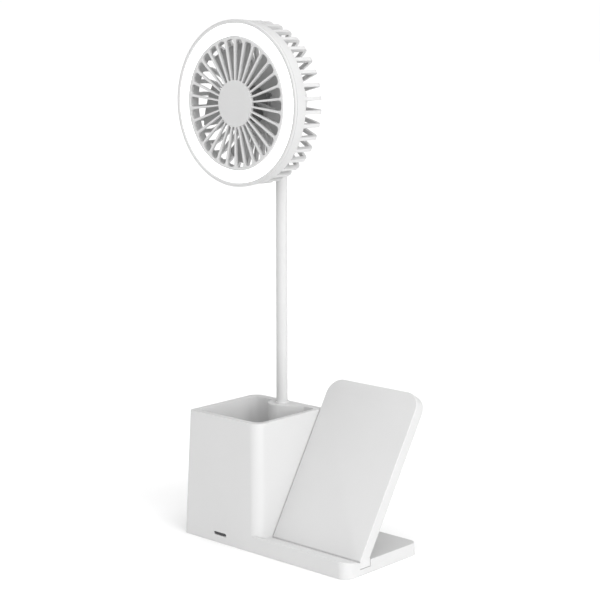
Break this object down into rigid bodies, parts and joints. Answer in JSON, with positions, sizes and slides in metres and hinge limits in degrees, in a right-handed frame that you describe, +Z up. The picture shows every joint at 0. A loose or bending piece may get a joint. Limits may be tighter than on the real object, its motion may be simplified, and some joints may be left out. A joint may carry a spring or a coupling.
{
  "type": "desk fan",
  "caption": "Desk fan with a ring light on a bendable neck, on a base with a pen holder and a leaning wireless charging stand.",
  "frame": {"origin": "middle of the base's footprint, on the desk under the anti-slip mat", "axes": "+X to the right seen from the front, +Y to the back, +Z up; the fan faces -Y"},
  "size_m": [0.1787, 0.0868, 0.3784],
  "materials": {
    "housing_white": "fine satin",
    "blade_white": "smooth satin",
    "sleeve_white": "matt silicone",
    "light_white": "milky, lit from behind",
    "cover_grey": "fine texture",
    "black_rubber": "matt",
    "smoked_lens": "smoked gloss",
    "bright_steel": "bright",
    "coil_copper": "varnished copper wire",
    "ferrite_grey": "matt",
    "board_green": "solder mask"
  },
  "bodies": {
    "base": {"anti_slip_mat": "black_rubber", "base_housing": "housing_white", "base_screw_1": "bright_steel", "base_screw_2": "bright_steel", "base_screw_3": "bright_steel", "base_screw_4": "bright_steel", "bottom_cover": "cover_grey", "charger_board": "board_green", "charging_coil": "coil_copper", "counterweight": "bright_steel", "ferrite_sheet": "ferrite_grey", "indicator_lens": "smoked_lens", "main_board": "board_green", "neck_collar": "housing_white", "neck_foot": "sleeve_white", "stand_back_cover": "housing_white", "stand_screw_1": "bright_steel", "stand_screw_2": "bright_steel", "stand_tray": "housing_white", "usb_c_inlet": "bright_steel"},
    "neck_1": {"neck_link_1": "sleeve_white"},
    "neck_2": {"neck_link_2": "sleeve_white"},
    "neck_3": {"neck_link_3": "sleeve_white"},
    "head": {"neck_top": "sleeve_white", "neck_retainer": "bright_steel", "front_frame": "housing_white", "light_diffuser": "light_white", "light_board": "board_green", "front_grille": "housing_white", "rear_shell": "housing_white", "motor": "bright_steel", "hub_housing": "housing_white", "hub_cover": "housing_white", "control_board": "board_green", "fan_switch": "black_rubber", "light_switch": "black_rubber", "head_screw_1": "bright_steel", "head_screw_2": "bright_steel", "head_screw_3": "bright_steel"},
    "impeller": {"impeller": "blade_white", "motor_shaft": "bright_steel"},
    "fan_button": {"fan_button": "cover_grey"},
    "light_button": {"light_button": "cover_grey"}
  },
  "joints": [
    {"name": "neck_bend_1", "type": "hinge", "parent": "base", "child": "neck_1", "pos_m": [-0.0393, 0.02435, 0.12], "axis": [1, 0, 0], "range_deg": [-25, 25]},
    {"name": "neck_bend_2", "type": "hinge", "parent": "neck_1", "child": "neck_2", "pos_m": [-0.0393, 0.02435, 0.155], "axis": [0, 1, 0], "range_deg": [-25, 25]},
    {"name": "neck_bend_3", "type": "hinge", "parent": "neck_2", "child": "neck_3", "pos_m": [-0.0393, 0.02435, 0.19], "axis": [1, 0, 0], "range_deg": [-25, 25]},
    {"name": "neck_bend_4", "type": "hinge", "parent": "neck_3", "child": "head", "pos_m": [-0.0393, 0.02435, 0.225], "axis": [0, 1, 0], "range_deg": [-25, 25]},
    {"name": "impeller_spin", "type": "hinge", "parent": "head", "child": "impeller", "pos_m": [-0.0393, -0.01, 0.3196], "axis": [0, 1, 0], "continuous": true},
    {"name": "fan_button_press", "type": "slide", "parent": "head", "child": "fan_button", "axis": [0, -1, 0], "range_m": [0, 0.0005], "stiffness_N_per_m": 800, "springref_m": -0.0005},
    {"name": "light_button_press", "type": "slide", "parent": "head", "child": "light_button", "axis": [0, -1, 0], "range_m": [0, 0.0005], "stiffness_N_per_m": 800, "springref_m": -0.0005}
  ]
}
